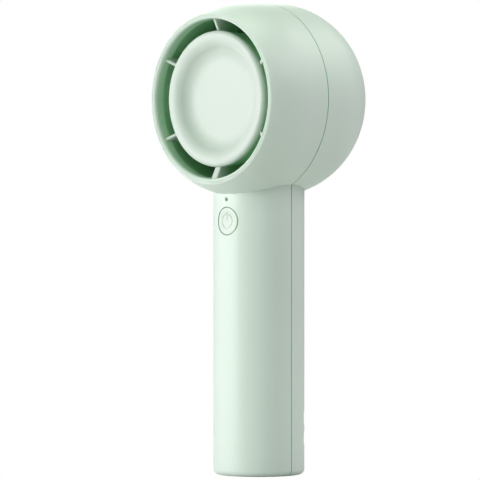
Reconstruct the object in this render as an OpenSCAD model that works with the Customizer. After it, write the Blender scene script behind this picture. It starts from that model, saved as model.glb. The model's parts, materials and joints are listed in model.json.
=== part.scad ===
// Handheld electric fan: a round ducted head on a straight handle.
// The origin is the centre of the flat base, +Z is up and the air leaves towards -Y.

/* [Handle] */
// Outer diameter of the handle
handle_d = 32; // [31.8:0.1:32.6]
// Height of the head's axis above the base
head_z = 131.5; // [131.5:0.5:135]
// Radius of the rounded edge round the base
base_round = 2; // [1.2:0.1:2.4]
// Thickness of the shell walls
wall = 1.7; // [1.6:0.05:1.75]
// Width of the groove on the seam line
seam_w = 0.22; // [0.1:0.02:0.3]

/* [Head] */
// Largest diameter of the head
head_d = 67.8; // [67.6:0.1:68.4]
// Radius of the curve behind the seam
rear_curve = 29.2; // [29:0.1:29.4]
// Length of the straight part behind the seam
rear_straight = 7; // [6.8:0.1:7.4]
// Radius of the curve in front of the seam
front_curve = 28.4; // [28.2:0.1:28.6]
// Length of the straight part in front of the seam
front_straight = 9; // [8.8:0.1:9.2]

/* [Outlet] */
// Diameter of the outlet opening
outlet_d = 55.5; // [55.3:0.1:55.7]
// Radius of the rounded lip round the outlet
lip_r = 1.15; // [1.05:0.05:1.2]
// Diameter of the centre disc
disc_d = 47.4; // [46.8:0.2:48]
// Depth of the dish in the centre disc
dish_depth = 4.4; // [4:0.1:4.6]
// Number of vanes; an even number puts one at the bottom, where the motor leads run
vane_count = 6; // [6:2:8]
// Thickness of a vane
vane_t = 1; // [0.8:0.1:1.2]

/* [Intake] */
// Diameter of the intake hole in the rear shell
intake_d = 49; // [48.6:0.2:49.2]
// Number of rings of slots in the grille
slot_rings = 5; // [4:1:5]
// Number of ribs across the slots
slot_ribs = 12; // [8:1:16]

/* [Rotor] */
// Number of impeller blades
blade_count = 9; // [7:1:11]
// Inner diameter of the air duct
duct_d = 56.8; // [56.6:0.1:57]
// Gap between the blade tips and the duct
tip_gap = 0.8; // [0.6:0.1:1.2]
// Diameter of the motor shaft
shaft_d = 2; // [1.9:0.05:2]

/* [Controls] */
// Height of the button above the base
button_z = 89; // [86:0.5:90]
// Diameter of the button cap
button_d = 9.6; // [9:0.2:9.8]
// Distance that the button travels
button_travel = 0.25; // [0.15:0.05:0.3]
// Height of the light above the base
light_z = 96.6; // [96:0.1:97]
// Diameter of the light
light_d = 1.3; // [1:0.1:1.5]
// Height of the charging socket above the base
port_z = 19.8; // [19.6:0.1:20]
// Height of the lanyard slot above the base
lanyard_z = 12.7; // [12.6:0.1:12.8]

/* [Hidden] */

$fn = 96;
gap = 0.05;       // clearance between pieces that are fixed together
eps = 0.5;        // how far a cutter runs past the face that it cuts
far = 60;         // larger than half of the head

handle_r = handle_d / 2;
head_r = head_d / 2;
outlet_r = outlet_d / 2;
disc_r = disc_d / 2;
duct_r = duct_d / 2;
shaft_r = shaft_d / 2;
intake_r = intake_d / 2;

// Half section of the head: places along the head's axis are y, the front is negative.
rear_c = head_r - rear_curve;      // radius at which the rear curve is centred
front_c = head_r - front_curve;    // radius at which the front curve is centred
lip_c = outlet_r + lip_r;          // radius at which the lip is centred
lip_run = front_curve - lip_r;
lip_drop = sqrt(lip_run * lip_run - (lip_c - front_c) * (lip_c - front_c));
lip_y = -(front_straight + lip_drop);
tangent_y = -(front_straight + lip_drop * front_curve / lip_run);
lip_wall_end = -19.8;              // where the wall behind the lip ends
trim_r = lip_c - 0.05;             // outer radius of the trim ring that lines the outlet
trim_groove = 0.17;                // radius of the fine groove between the trim and the shell
tongue_h = 1.4;                    // how far the rear shell's tongue enters the front shell
tongue_split = 0.9;                // depth in the wall at which the tongue begins
handle_top = head_z - 30;          // inside the head's wall

// Outlet ring, hub and disc
ring_end = -10;
ring_r = duct_r + 1.2;
vane_front = -22.2;
vane_slope = 2;                    // how much deeper a vane's front edge lies at the disc
vane_back = -11;
hub_r = disc_r - 0.5;
hub_wall = 1.2;
hub_back = -0.6;
hub_back_r = 15.4;
bulkhead_y = -5.2;
bulkhead_t = 1.65;
disc_front = -21.9;
rim_out = 1.5;                     // radius of the outside of the disc's rim
rim_in = 5.3;                      // radius of the inside of the disc's rim
disc_skirt = 0.7;                  // length of the straight side behind the disc's rim
disc_back = disc_front + rim_out + disc_skirt;
disc_floor = 1.3;                  // thickness of the disc under its dish
dish_slope = 51;                   // steepest slope of the dish
dish_reach = dish_depth / (1 - cos(dish_slope));    // both radii of the dish's curve together
hub_front = disc_back + 0.25;
lead_vane_t = 2.4;                 // the lowest vane is thicker, because the motor leads run in it
lead_channel = [1.1, 2.6];
lead_y = -12.5;                    // where the channel and the middle lead run
lead_hole = [10.1, 12.9];          // where the leads leave the motor, from and to this radius

// Slots of the intake grille: radius of the innermost, pitch and width
slot_first = 5.6;
slot_pitch = 3.5;
slot_w = 2.1;
rib_w = 1.3;

// Air duct
duct_end = 17.4;
ear_r = 30.85;
ear_angles = [90, 210, 330];
ear_t = 1.2;

// Motor, by places along the head's axis
plate_y = -3.5;
plate_t = 1.5;
plate_r = 13;
tube_r = 3.4;
tube_end = 9;
bearing_r = 2.5;
bearing_w = 2.3;
bearing_y = [-1.9, 6.6];
shaft_front = -3;
shaft_back = 11;
core_y = [1.5, 6.5];
core_r = 9.5;
core_ring = 5;
teeth = 9;
tooth_w = 1.6;
shoe_t = 0.9;
shoe_gap = 12;                     // angle between neighbouring pole shoes
coil_y = [0.8, 7.2];
coil_span = [5.4, 8.3];
magnet_r = [9.9, 10.9];
magnet_y = [1, 8];
magnet_count = 12;
bell_r = 11.5;
bell_y = [0.4, 10.2];
bell_t = 0.7;
impeller_y = [0.2, 11.6];
impeller_r = 14.2;
nose_h = 2.6;
blade_y = [1, 11];
blade_t = 1.1;
screw_ring = 8.6;
motor_screw_angles = [30, 150, 270];
pcb_t = 1;
lead_d = 0.55;
power_lead_d = 0.8;
lead_pitch = 0.72;
plug_x = 5.4;
plug_y = -11.2;
plug_z = [90.6, 93.6];
plug_pitch = 1.5;

// Handle's inner parts, by places along Y
cell_y = 2.4;
cell_r = 10.6;
wrap_t = 0.15;
can_t = 0.3;
cell_z = [25.2, 94.4];
cradle_t = 1.1;
board_y = -9.6;
board_size = [18, 47];
board_z = 52;
// chips and passives: width, thickness, height, then their middle's Z and X
chips = [
    [4, 0.85, 4, 76, -3], [5, 1.5, 4, 64, -1], [1.6, 1, 3, 76, 4], [1.6, 1, 3, 76, 6.4],
    [1, 0.5, 0.6, 81.3, -7], [1, 0.5, 0.6, 81.3, -5.2], [1, 0.5, 0.6, 81.3, 5], [1, 0.5, 0.6, 81.3, 6.8],
    [1.2, 0.6, 0.7, 68.85, -6], [1.2, 0.6, 0.7, 70.85, -6]
];
coil_z = 69.5;                     // middle of the inductor
coil_x = 3.4;
coil_w = 5;
switch_h = 1.4;
plunger_h = 0.6;
plunger_r = 0.9;
flange_r = 5.9;
flange_y = [-13, -12.2];
hole_gap = 0.16;                   // gap round the button cap
boss_places = [[-6.6, 57], [6.6, 57]];
usb_size = [8.94, 3.26];
usb_depth = 7.3;
usb_wall = 0.3;
usb_face = 14.9;
usb_back = 1.2;                    // thickness of the socket's back
usb_top = port_z - usb_size[1] / 2 - gap;           // top of the socket's board
usb_board_size = [13, 9, 0.9];     // width, length and thickness
usb_board_y = 3.2;                 // where the socket's board begins
usb_tongue_size = [6.6, 0.7];
recess_depth = 0.2;
recess_w = 27;
port_recess_h = 7;
lanyard_recess_h = 5.6;
lanyard_slot = [10, 3.2, 4.6];

mint = "#cfe3d2";
mint_light = "#dcebde";
mint_deep = "#6f9a78";
steel = "#b9bdc1";
copper = "#b8733a";
board_green = "#2f6b4a";
black = "#26282a";

// ---- helpers ----

// Puts a shape drawn about Z on the head's axis, so that its Z becomes Y.
module on_axis() {
    translate([0, 0, head_z]) rotate([-90, 0, 0]) children();
}

// Turns a half section, drawn as radius and place, about the head's axis.
module spin_section() {
    on_axis() rotate_extrude() children();
}

// A ring or disc on the head's axis from y0 to y1.
module ring(y0, y1, r_out, r_in = 0) {
    spin_section() translate([r_in, y0]) square([r_out - r_in, y1 - y0]);
}

// A box on the head's axis that points outwards at an angle seen from the front.
module spoke(angle, r0, r1, y0, y1, t) {
    on_axis() rotate([0, 0, -angle]) translate([r0, -t / 2, y0]) cube([r1 - r0, t, y1 - y0]);
}

// A pin along the head's axis at a radius and an angle.
module axial_pin(angle, r, y0, y1, pin_r) {
    on_axis() rotate([0, 0, -angle]) translate([r, 0, y0]) cylinder(r = pin_r, h = y1 - y0);
}

// A pin that lies along Y from y0 to y1.
module y_pin(x, z, y0, y1, r) {
    translate([x, y0, z]) rotate([-90, 0, 0]) cylinder(r = r, h = y1 - y0);
}

// A slot outline with round ends, w wide and h high, drawn across Y and run from y0 to y1.
module y_slot(z, w, h, y0, y1) {
    translate([0, y1, z]) rotate([90, 0, 0]) linear_extrude(y1 - y0) union() {
        square([w - h, h], center = true);
        for (side = [-1, 1]) translate([side * (w - h) / 2, 0]) circle(h / 2);
    }
}

// A cuboid centred in X, from y0 to y1 and z0 to z1.
module block(w, y0, y1, z0, z1, x = 0) {
    translate([x - w / 2, y0, z0]) cube([w, y1 - y0, z1 - z0]);
}

// Points on a smooth curve through the given points.
function smooth(p, n = 4) = [
    for (i = [0 : len(p) - 2], k = [0 : n - 1])
        let (t = k / n, a = p[max(i - 1, 0)], b = p[i], c = p[i + 1], d = p[min(i + 2, len(p) - 1)])
        0.5 * (2 * b + (c - a) * t + (2 * a - 5 * b + 4 * c - d) * t * t
            + (3 * b - a - 3 * c + d) * t * t * t),
    p[len(p) - 1]
];
function unit(v) = v / norm(v);
function along(p, i) = unit(p[min(i + 1, len(p) - 1)] - p[max(i - 1, 0)]);

// A wire through the points; its route may not run along X.
module wire(points, d, sides = 8) {
    p = smooth(points);
    last = len(p) - 1;
    rings = [for (i = [0 : last]) let (t = along(p, i), u = unit(cross(t, [1, 0, 0])), v = cross(t, u))
        for (k = [0 : sides - 1]) p[i] + d / 2 * (cos(360 * k / sides) * u + sin(360 * k / sides) * v)];
    walls = [for (i = [0 : last - 1], k = [0 : sides - 1]) let (m = (k + 1) % sides)
        [i * sides + k, i * sides + m, (i + 1) * sides + m, (i + 1) * sides + k]];
    caps = [[for (k = [sides - 1 : -1 : 0]) k], [for (k = [0 : sides - 1]) last * sides + k]];
    polyhedron(points = rings, faces = concat(walls, caps));
}

// ---- outer volumes ----

// Half section of the head, drawn in from its surface and cut at the front.
module head_section(inset, front) {
    intersection() {
        union() {
            translate([0, -front_straight]) square([head_r - inset, front_straight + rear_straight]);
            translate([rear_c, rear_straight]) circle(rear_curve - inset, $fn = 180);
            translate([front_c, -front_straight]) circle(front_curve - inset, $fn = 180);
            translate([0, front]) square([rear_c, rear_straight + rear_curve - inset - front]);
        }
        translate([0, front]) square([far, 2 * far]);
    }
}

// The handle's solid, drawn in from its surface.
module handle_volume(inset = 0, floor_z = 0) {
    r = handle_r - inset;
    round_r = max(base_round - inset, 0.5);
    translate([0, 0, floor_z]) rotate_extrude($fn = 120) union() {
        square([r - round_r, handle_top - floor_z]);
        translate([0, round_r]) square([r, handle_top - floor_z - round_r]);
        translate([r - round_r, round_r]) circle(round_r);
    }
}

// The solid of head and handle together, drawn in from its surface.
module fan_volume(inset) {
    spin_section() head_section(inset, lip_wall_end);
    handle_volume(inset, inset);
}

// The whole outside as one solid, with its rounded outlet lip and its outlet opening.
module outer_body() {
    difference() {
        union() {
            spin_section() difference() {
                head_section(0, tangent_y);
                translate([0, tangent_y - eps]) square([lip_c, lip_y - tangent_y + eps]);
            }
            handle_volume();
        }
        ring(lip_y - eps, lip_wall_end + eps, outlet_r);
    }
    spin_section() translate([lip_c, lip_y]) circle(lip_r);
}

// The fine groove round the crest of the lip, where the trim meets the shell.
module lip_groove() {
    spin_section() translate([trim_r + gap / 2, lip_y - lip_r]) circle(trim_groove);
}

// The hollow shells before they are split.
module hollow_body() {
    difference() {
        outer_body();
        fan_volume(wall);
        ring(lip_y - 2 * lip_r, lip_wall_end + eps, trim_r + gap);
        lip_groove();
    }
}

// One half of space, in front of the seam or behind it.
module half_space(front, y = 0) {
    translate([-far, front ? y - 2 * far : y, -far]) cube([2 * far, 2 * far, 5 * far]);
}

// The groove that the two edges leave on the outside along the seam.
module seam_groove() {
    difference() {
        translate([-far, -seam_w / 2, -far]) cube([2 * far, seam_w, 5 * far]);
        fan_volume(0.45);
    }
}

// A band of the wall just in front of the seam, between two depths.
module tongue_band(depth, height) {
    intersection() {
        fan_volume(depth);
        translate([-far, -height, -far]) cube([2 * far, height, 5 * far]);
    }
}

// ---- shells ----

module front_shell() color(mint) {
    difference() {
        union() {
            intersection() {
                hollow_body();
                half_space(true);
            }
            for (a = ear_angles) intersection() {
                axial_pin(a, ear_r, lip_wall_end - eps, ring_end, 1.2);
                spin_section() head_section(wall - 0.3, lip_wall_end - eps);
            }
            for (p = boss_places) intersection() {
                y_pin(p[0], p[1], -handle_r, board_y, 1.7);
                handle_volume(wall - 0.3, wall);
            }
        }
        tongue_band(tongue_split, tongue_h + 0.1);
        seam_groove();
        y_pin(0, button_z, -handle_r - eps, flange_y[0] + eps, button_d / 2 + hole_gap);
        y_pin(0, light_z, -handle_r - eps, -handle_r + wall + 2 * eps, light_d / 2 + 0.03);
        for (a = ear_angles) axial_pin(a, ear_r, -15, ring_end + eps, 0.75);
        for (p = boss_places) y_pin(p[0], p[1], board_y - 2.6, board_y + eps, 0.7);
    }
}

// A shallow recess in the back of the handle, with a floor that follows the handle.
module back_recess(z, h) {
    difference() {
        y_slot(z, recess_w, h, 4, handle_r + 1);
        translate([0, 0, z - far]) cylinder(r = handle_r - recess_depth, h = 2 * far);
    }
}

module rear_shell() color(mint) {
    difference() {
        union() {
            intersection() {
                hollow_body();
                half_space(false);
            }
            difference() {
                tongue_band(tongue_split + gap, tongue_h);
                fan_volume(wall);
            }
            // the pocket behind the lanyard pin
            intersection() {
                block(lanyard_slot[0] + 2.4, handle_r - lanyard_slot[2] - 1.2, handle_r,
                    lanyard_z - lanyard_slot[1] / 2 - 1.2, lanyard_z + lanyard_slot[1] / 2 + 1.2);
                handle_volume(wall - 0.3, wall);
            }
            // the shelf under the charging socket's board
            for (side = [-1, 1]) intersection() {
                block(1.6, 4, handle_r, port_z - usb_size[1] / 2 - 2.4, port_z - usb_size[1] / 2 - 1.05,
                    side * 5.6);
                handle_volume(wall - 0.3, wall);
            }
        }
        seam_groove();
        ring(20, 2 * far, intake_r);
        back_recess(port_z, port_recess_h);
        back_recess(lanyard_z, lanyard_recess_h);
        y_slot(port_z, usb_size[0] + 0.5, usb_size[1] + 0.5, 12, handle_r + eps);
        y_slot(lanyard_z, lanyard_slot[0], lanyard_slot[1], handle_r - lanyard_slot[2], handle_r + eps);
        translate([0, handle_r - 2.2, lanyard_z - 2.8]) cylinder(r = 0.8, h = 5.6);
    }
}

module lanyard_pin() color(steel) {
    translate([0, handle_r - 2.2, lanyard_z - 2.7]) cylinder(r = 0.77, h = 5.4);
}

module rear_grille() color(mint) {
    edge = intake_r - 0.12;
    difference() {
        union() {
            spin_section() intersection() {
                difference() {
                    head_section(0, lip_wall_end);
                    head_section(wall, lip_wall_end - 1);
                }
                translate([0, 20]) square([edge, far]);
            }
            ring(23.4, 28.4, edge, edge - 1.2);
            for (a = [45 : 90 : 315]) spoke(a, edge - 0.6, edge + 0.35, 23.6, 24.5, 4);
        }
        difference() {
            for (r = [slot_first : slot_pitch : slot_first + (slot_rings - 0.5) * slot_pitch])
                ring(20, 40, r + slot_w, r);
            for (k = [0 : slot_ribs - 1]) spoke(k * 360 / slot_ribs, 0, far, 19, 41, rib_w);
        }
    }
}

// ---- outlet ----

module outlet_trim() color(mint) {
    difference() {
        spin_section() union() {
            intersection() {
                translate([lip_c, lip_y]) circle(lip_r);
                translate([0, lip_y - 2 * lip_r]) square([trim_r, far]);
            }
            translate([outlet_r, lip_y]) square([trim_r - outlet_r, lip_wall_end - lip_y]);
        }
        lip_groove();
    }
}

// A vane between the hub and the ring; its front edge slopes back towards the disc.
module vane(angle, t) {
    root = hub_r - hub_wall / 2;
    on_axis() rotate([0, 0, -angle]) rotate([90, 0, 0]) linear_extrude(t, center = true) polygon([
        [outlet_r - gap, vane_front], [outlet_r - gap, lip_wall_end + gap],
        [duct_r + 0.4, lip_wall_end + gap], [duct_r + 0.4, vane_back], [root, vane_back],
        [root, disc_back + gap], [disc_r + gap, disc_back + gap], [disc_r + gap, vane_front + vane_slope]
    ]);
}

module outlet_ring() color(mint_light) {
    difference() {
        union() {
            ring(lip_wall_end + gap, ring_end, ring_r, duct_r);
            // hub: a straight wall, then a cone down to the impeller's size
            spin_section() polygon([
                [hub_r - hub_wall, hub_front], [hub_r, hub_front], [hub_r, ring_end],
                [hub_back_r, hub_back], [hub_back_r - hub_wall, hub_back], [hub_r - hub_wall, ring_end]
            ]);
            ring(bulkhead_y, bulkhead_y + bulkhead_t, hub_back_r + 2.4);
            for (k = [0 : vane_count - 1]) let (a = 90 + k * 360 / vane_count)
                vane(a, a == 270 ? lead_vane_t : vane_t);
        }
        ring(bulkhead_y - eps, plate_y + eps, tube_r + 0.4);
        for (a = motor_screw_angles) axial_pin(a, screw_ring, bulkhead_y - eps, plate_y + eps, 0.85);
        on_axis() translate([-lead_channel[0] / 2, 0, lead_y - lead_channel[1] / 2])
            cube([lead_channel[0], far, lead_channel[1]]);
        spoke(270, lead_hole[0], lead_hole[1], bulkhead_y - eps, plate_y + eps, 3);
    }
}

module front_disc() color(mint_light) {
    crest = disc_r - rim_out;
    floor_y = disc_front + dish_depth;
    floor_r = crest - dish_reach * sin(dish_slope);
    hollow = dish_reach - rim_in;
    join = [crest - rim_in * sin(dish_slope), disc_front + rim_in * (1 - cos(dish_slope))];
    spin_section() difference() {
        union() {
            intersection() {
                translate([crest, disc_front + rim_out]) circle(rim_out);
                translate([crest - gap, disc_front]) square([rim_out + 2 * gap, rim_out]);
            }
            translate([crest - gap, disc_front + rim_out]) square([rim_out + gap, disc_skirt]);
            translate([0, disc_front]) square([crest, dish_depth + disc_floor]);
        }
        // the dish: a flat floor, a hollow curve and the round inside of the rim
        translate([-eps, disc_front - eps]) square([floor_r + eps, dish_depth + eps]);
        translate([floor_r, floor_y - hollow]) circle(hollow);
        difference() {
            translate([join[0], disc_front - eps]) square([crest - join[0], join[1] - disc_front + eps]);
            translate([crest, disc_front + rim_in]) circle(rim_in);
        }
        // the back is open above the hub's wall
        translate([hub_r - hub_wall - gap, hub_front - gap]) square([hub_wall + 2 * gap, far]);
    }
}

module air_duct() color(mint_deep) {
    difference() {
        union() {
            ring(ring_end + gap, duct_end, ring_r, duct_r);
            for (a = ear_angles) difference() {
                axial_pin(a, ear_r, ring_end + gap, ring_end + gap + ear_t, 1.15);
                ring(ring_end, ring_end + 2, duct_r + 0.4);
            }
        }
        for (a = ear_angles) axial_pin(a, ear_r, ring_end - eps, ring_end + ear_t + eps, 0.72);
    }
}

module duct_screws() color(steel) {
    head_y = ring_end + gap + ear_t;
    for (a = ear_angles) {
        axial_pin(a, ear_r, -14.5, head_y, 0.7);
        axial_pin(a, ear_r, head_y, head_y + 0.8, 1.1);
    }
}

// ---- motor ----

module motor_mount() color(steel) {
    difference() {
        union() {
            ring(plate_y, plate_y + plate_t, plate_r);
            ring(plate_y, tube_end, tube_r);
        }
        ring(plate_y - eps, tube_end + eps, bearing_r + 0.01);
        for (a = motor_screw_angles) axial_pin(a, screw_ring, plate_y - eps, plate_y + plate_t + eps, 0.8);
        spoke(270, lead_hole[0], plate_r + 1, plate_y - eps, plate_y + plate_t + eps, 3);
    }
}

module motor_screws() color(steel) {
    for (a = motor_screw_angles) {
        axial_pin(a, screw_ring, bulkhead_y, plate_y + plate_t - 0.1, 0.79);
        axial_pin(a, screw_ring, bulkhead_y - 0.9, bulkhead_y, 1.5);
    }
}

module bearings() color(steel) {
    for (y = bearing_y) ring(y, y + bearing_w, bearing_r, shaft_r + 0.02);
}

module stator_core() color("#8d9299") {
    ring(core_y[0], core_y[1], core_ring, tube_r + 0.01);
    for (k = [0 : teeth - 1]) {
        spoke(k * 360 / teeth, core_ring - 0.3, core_r - 0.3, core_y[0], core_y[1], tooth_w);
        intersection() {
            ring(core_y[0], core_y[1], core_r, core_r - shoe_t);
            spoke(k * 360 / teeth, core_ring, core_r + 1, core_y[0], core_y[1],
                2 * core_r * tan((360 / teeth - shoe_gap) / 2));
        }
    }
}

module stator_windings() color(copper) {
    for (k = [0 : teeth - 1]) difference() {
        spoke(k * 360 / teeth, coil_span[0], coil_span[1], coil_y[0], coil_y[1], tooth_w + 1.7);
        spoke(k * 360 / teeth, coil_span[0] - 1, coil_span[1] + 1, core_y[0] - 0.02, core_y[1] + 0.02,
            tooth_w + 0.04);
    }
}

module motor_board() color(board_green) {
    y = plate_y + plate_t + 0.1;
    ring(y, y + 0.8, 12.8, tube_r + 0.2);
}

module motor_board_parts() color(black) {
    y = plate_y + plate_t + 0.9;
    for (a = [20, 100, 140, 200, 340]) spoke(a, 9.6, 11.6, y, y + 0.45, 2.6);
}

module shaft() color(steel) {
    ring(shaft_front, shaft_back, shaft_r);
}

module retaining_clip() color("#5a5d60") {
    ring(-2.55, -2.15, 2.1, shaft_r);
}

module rotor_spacer() color("#c9a24a") {
    ring(tube_end + 0.05, bell_y[1] - bell_t, 1.7, shaft_r);
}

module rotor_bell() color("#9a9ea3") {
    difference() {
        ring(bell_y[0], bell_y[1], bell_r);
        ring(bell_y[0] - eps, bell_y[1] - bell_t, magnet_r[1]);
        ring(bell_y[0], bell_y[1] + eps, shaft_r);
    }
}

module rotor_magnets() color("#4a4d50") {
    difference() {
        ring(magnet_y[0], magnet_y[1], magnet_r[1], magnet_r[0]);
        for (k = [0 : magnet_count - 1])
            spoke((k + 0.5) * 360 / magnet_count, magnet_r[0] - 1, magnet_r[1] + 1, 0, 9, 0.5);
    }
}

// One blade, drawn about Z: radial, thin, and turned as it runs along the axis.
module blade() {
    root = impeller_r - 0.5;
    translate([0, 0, blade_y[0]]) linear_extrude(blade_y[1] - blade_y[0], twist = 52, slices = 12, $fn = 4)
        translate([root, -blade_t / 2]) square([duct_r - tip_gap - root, blade_t]);
}

module impeller() color(mint_deep) {
    difference() {
        union() {
            ring(impeller_y[0], impeller_y[1], impeller_r);
            spin_section() intersection() {
                translate([0, impeller_y[1] - 8.2]) circle(11.2);
                translate([0, impeller_y[1] - 0.2]) square([impeller_r, nose_h + 3]);
            }
        }
        ring(impeller_y[0] - eps, bell_y[1] + 0.01, bell_r);
        ring(bell_y[0], shaft_back + 0.1, shaft_r);
    }
    on_axis() for (k = [0 : blade_count - 1]) rotate([0, 0, k * 360 / blade_count]) blade();
}

// ---- leads of the motor ----

// Three leads side by side: forward out of the motor, down through the lowest vane, across to the plug.
module motor_leads() color("#d8a43a") {
    for (i = [-1 : 1]) let (y = lead_y - i * lead_pitch, z = head_z - 11.5 + i * lead_pitch) wire([
        [0, plate_y + plate_t + 0.08, z], [0, -4.5, z], [0, -8.5, z - 0.2], [0, y + 1.3, z - 1.5],
        [0, y, head_z - 16.5], [0, y, head_z - 20], [0, y, head_z - 26], [0, y, head_z - 28.6],
        [0, y, head_z - 29.8], [0, y, head_z - 30.8],
        [plug_x + i * plug_pitch, plug_y, plug_z[1] + 2],
        [plug_x + i * plug_pitch, plug_y, plug_z[1] + 0.8],
        [plug_x + i * plug_pitch, plug_y, plug_z[1] - 0.8]
    ], lead_d);
}

module motor_plug() color("#e8e6dc") {
    difference() {
        block(4.6, plug_y - 0.7, plug_y + 0.65, plug_z[0], plug_z[1], plug_x);
        block(4, plug_y - 0.4, plug_y + 0.4, plug_z[1] - 1, plug_z[1] + 1, plug_x);
    }
}

module motor_header() color("#e8e6dc") {
    block(5, plug_y + 0.7, board_y, plug_z[0] - 0.6, plug_z[1], plug_x);
}

// ---- button, switch and light ----

module power_button() color(mint_light) {
    difference() {
        union() {
            intersection() {
                y_pin(0, button_z, -handle_r, flange_y[1], button_d / 2);
                cylinder(r = handle_r - 0.05, h = handle_top);
            }
            y_pin(0, button_z, flange_y[0], flange_y[1], flange_r);
            y_pin(0, button_z, flange_y[1] - eps, board_y - switch_h - plunger_h - gap, 1.4);
        }
        translate([0, -handle_r - 30 + 0.35, button_z]) sphere(30, $fn = 180);
    }
}

module tact_switch() color(black) {
    difference() {
        block(4.4, board_y - switch_h, board_y, button_z - 1.7, button_z + 1.7);
        y_pin(0, button_z, board_y - switch_h - eps, board_y - 0.5, plunger_r + 0.06);
    }
}

module switch_plunger() color("#d9d9d4") {
    y_pin(0, button_z, board_y - switch_h - plunger_h, board_y - 0.5 - button_travel - gap, plunger_r);
}

module light_pipe() color("#2f5a3c") {
    y_pin(0, light_z, -handle_r + 0.1, board_y - 0.75, light_d / 2);
    y_pin(0, light_z, -12.4, -11.6, light_d / 2 + 0.5);
}

module status_led() color("#e8f0d8") {
    block(1.6, board_y - 0.65, board_y, light_z - 0.4, light_z + 0.4);
}

// ---- boards ----

module control_board() color(board_green) {
    difference() {
        block(board_size[0], board_y, board_y + pcb_t, board_z, board_z + board_size[1]);
        for (p = boss_places) y_pin(p[0], p[1], board_y - eps, board_y + pcb_t + eps, 0.85);
    }
}

module control_chips() color(black) {
    for (c = chips) block(c[0], board_y - c[1], board_y, c[3] - c[2] / 2, c[3] + c[2] / 2, c[4]);
}

module inductor() color("#55585b") {
    difference() {
        block(coil_w, board_y - 2.6, board_y, coil_z - coil_w / 2, coil_z + coil_w / 2, coil_x);
        y_pin(coil_x, coil_z, board_y - 3, board_y - 2.3, 2);
    }
}

module board_screws() color(steel) {
    for (p = boss_places) {
        y_pin(p[0], p[1], board_y - 2.4, board_y + pcb_t, 0.68);
        y_pin(p[0], p[1], board_y + pcb_t, board_y + pcb_t + 0.8, 1.4);
    }
}

// ---- battery ----

// A tube or disc about the battery's own axis.
module cell_tube(z0, z1, r_out, r_in = 0) {
    translate([0, cell_y, z0]) difference() {
        cylinder(r = r_out, h = z1 - z0);
        if (r_in > 0) translate([0, 0, -eps]) cylinder(r = r_in, h = z1 - z0 + 2 * eps);
    }
}

module battery_can() color(steel) {
    difference() {
        cell_tube(cell_z[0] + wrap_t, cell_z[1] - wrap_t - 0.3, cell_r - wrap_t);
        cell_tube(cell_z[0] + wrap_t + can_t, cell_z[1] - wrap_t - 0.3 - can_t, cell_r - wrap_t - can_t);
    }
}

module battery_roll() color(copper) {
    cell_tube(cell_z[0] + 1.2, cell_z[1] - 2.4, cell_r - wrap_t - can_t - 0.1, 1);
}

module battery_wrap() color("#5f8fc9") {
    difference() {
        cell_tube(cell_z[0], cell_z[1], cell_r, 8);
        cell_tube(cell_z[0] + wrap_t, cell_z[1] - wrap_t, cell_r - wrap_t);
    }
}

module battery_insulator() color("#eceae2") {
    cell_tube(cell_z[1] - wrap_t - 0.3, cell_z[1] - wrap_t, cell_r - wrap_t - 0.05, 4.6);
}

module battery_cap() color(steel) {
    cell_tube(cell_z[1] - wrap_t - 0.3, cell_z[1] + 0.4, 4.4);
}

module positive_tab() color("#cfd1cf") {
    block(5, -5.6, cell_y + 3, cell_z[1] + 0.4, cell_z[1] + 0.55);
}

module negative_tab() color("#cfd1cf") {
    block(5, -5.1, cell_y + 3, cell_z[0], cell_z[0] + wrap_t);
}

module battery_cradle() color("#e4e7e2") {
    difference() {
        intersection() {
            cell_tube(cell_z[0] - 1.5, cell_z[1] - 4, cell_r + 0.1 + cradle_t);
            handle_volume(wall + 0.1, wall);
            half_space(false, cell_y + 1.5);
        }
        cell_tube(cell_z[0] - 0.1, cell_z[1], cell_r + 0.1);
        for (z = [40, 60, 78]) block(40, 0, 10.8, z - 4, z + 4);
    }
}

module battery_pad() color("#3d4042") {
    difference() {
        block(9, -8.55, -4.4, 66, 84);
        cell_tube(60, 90, cell_r + 0.03);
    }
}

module battery_lead_red() color("#c23a32") {
    z = cell_z[1] + 1;
    wire([
        [1.6, -4.6, z], [1.6, -5.8, z + 0.3], [1.6, -7.2, z + 1],
        [1.6, board_y + pcb_t + 0.02, z + 1.3]
    ], power_lead_d);
}

module battery_lead_black() color(black) {
    z = cell_z[0] - 0.5;
    wire([
        [-2, -4, z], [-2.8, -6.4, z], [-3.4, -8.8, z + 0.3], [-3.4, -10, z + 5], [-3.4, -10.6, 40],
        [-3.4, -10.2, board_z + 1.6]
    ], power_lead_d);
}

// ---- charging socket ----

// The oval tube of the socket, drawn in from its surface.
module socket_oval(inset, y0, y1) {
    y_slot(port_z, usb_size[0] - 2 * inset, usb_size[1] - 2 * inset, y0, y1);
}

module usb_shell() color(steel) {
    difference() {
        socket_oval(0, usb_face - usb_depth, usb_face);
        socket_oval(usb_wall, usb_face - usb_depth + usb_back, usb_face + eps);
    }
}

module usb_tongue() color(black) {
    block(usb_tongue_size[0], usb_face - usb_depth + usb_back, usb_face - usb_back,
        port_z - usb_tongue_size[1] / 2, port_z + usb_tongue_size[1] / 2);
}

module usb_board() color(board_green) {
    block(usb_board_size[0], usb_board_y, usb_board_y + usb_board_size[1],
        usb_top - usb_board_size[2], usb_top);
}

module usb_board_parts() color(black) {
    for (x = [-4.6, -2.4, 2.4, 4.6])
        block(1.2, usb_board_y + 1, usb_board_y + 1.8, usb_top, usb_top + 0.5, x);
    block(2.2, usb_board_y + 0.8, usb_board_y + 3, usb_top, usb_top + 0.9);
}

module usb_leads() color("#c8ccd0") {
    for (i = [-1.5 : 1 : 1.5]) wire([
        [i * 1.1, 3.6, 18.45], [i * 1.1, 1, 18.7], [i * 1.1, -5, 20], [i * 1.1, -9.6, 26],
        [i * 1.1, -10.6, 36], [i * 1.1, -10.2, board_z + 1.6]
    ], 0.6);
}

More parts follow.
